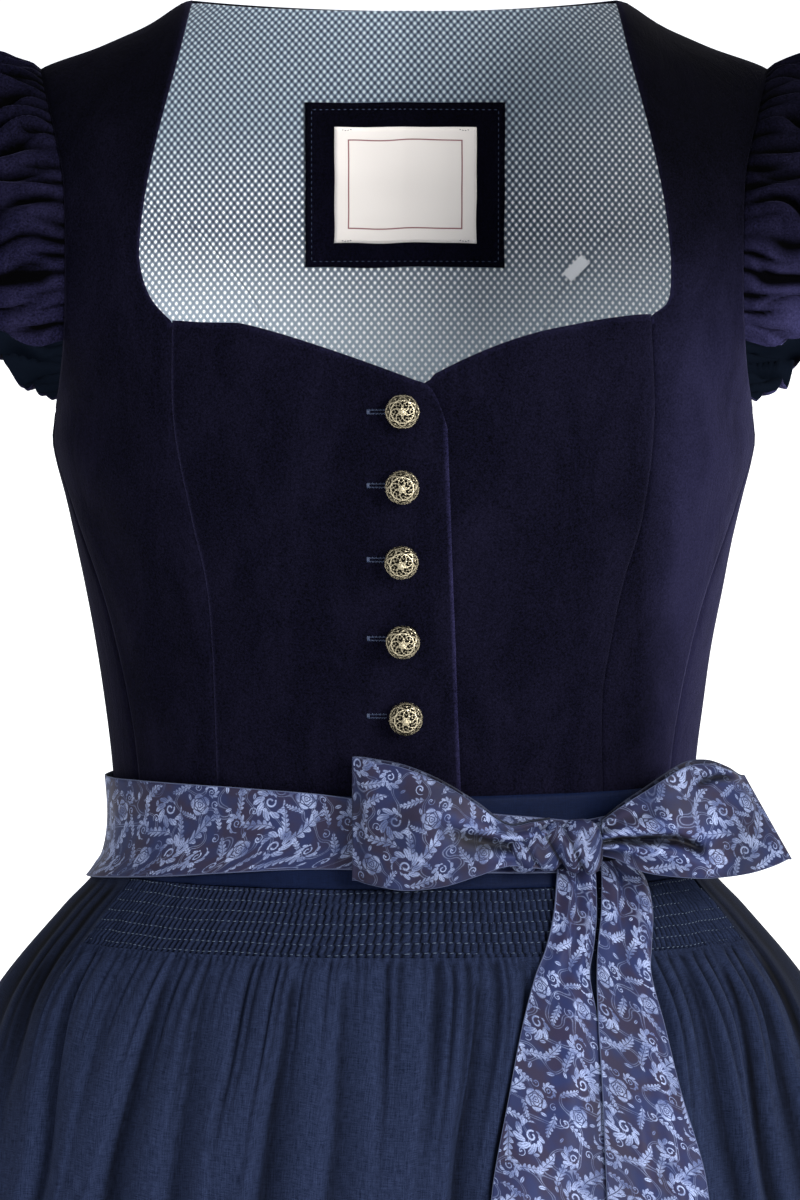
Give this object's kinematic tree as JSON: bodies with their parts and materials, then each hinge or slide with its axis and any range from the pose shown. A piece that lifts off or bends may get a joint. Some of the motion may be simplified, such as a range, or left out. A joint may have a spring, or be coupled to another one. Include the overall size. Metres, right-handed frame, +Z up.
{
  "type": "dirndl",
  "caption": "Women's dirndl: velvet bodice with frilled cap sleeves and button front, gathered linen skirt, and an apron with a smocked top tied by a printed ribbon bow.",
  "frame": {"origin": "midway between the two points where the shoulder seams meet the neck edge, where the wearer's shoulders hold the dress up", "axes": "+Z up, the front faces -Y, +X towards the wearer's left"},
  "size_m": [0.6904, 0.5813, 1.0207],
  "materials": {
    "velvet": "cotton velvet, short pile",
    "lining": "jacquard lining with small light diamonds",
    "label": "woven cream label",
    "tab": "woven grey-white tab",
    "button": "antique silver-gold, pierced relief",
    "skirt_linen": "linen, plain weave",
    "apron_linen": "linen, plain weave",
    "sateen": "cotton sateen",
    "ribbon": "printed sateen ribbon with leaf scrolls"
  },
  "bodies": {
    "root": {"front_centre_right": "velvet", "front_centre_left": "velvet", "front_side_right": "velvet", "front_side_left": "velvet", "back_centre": "velvet", "back_side_right": "velvet", "back_side_left": "velvet", "label_patch": "velvet", "sleeve_right": "velvet", "sleeve_left": "velvet", "back_lining": "lining", "neck_label": "label", "size_tab": "tab", "button_1": "button", "button_2": "button", "button_3": "button", "button_4": "button", "button_5": "button", "skirt_front": "skirt_linen", "skirt_back": "skirt_linen", "apron_smocking": "apron_linen", "apron_skirt": "apron_linen", "apron_waistband": "sateen", "ribbon_band": "ribbon", "bow_loop_right": "ribbon", "bow_loop_left": "ribbon", "bow_knot": "ribbon", "tail_under": "ribbon", "tail_over": "ribbon"}
  },
  "joints": []
}
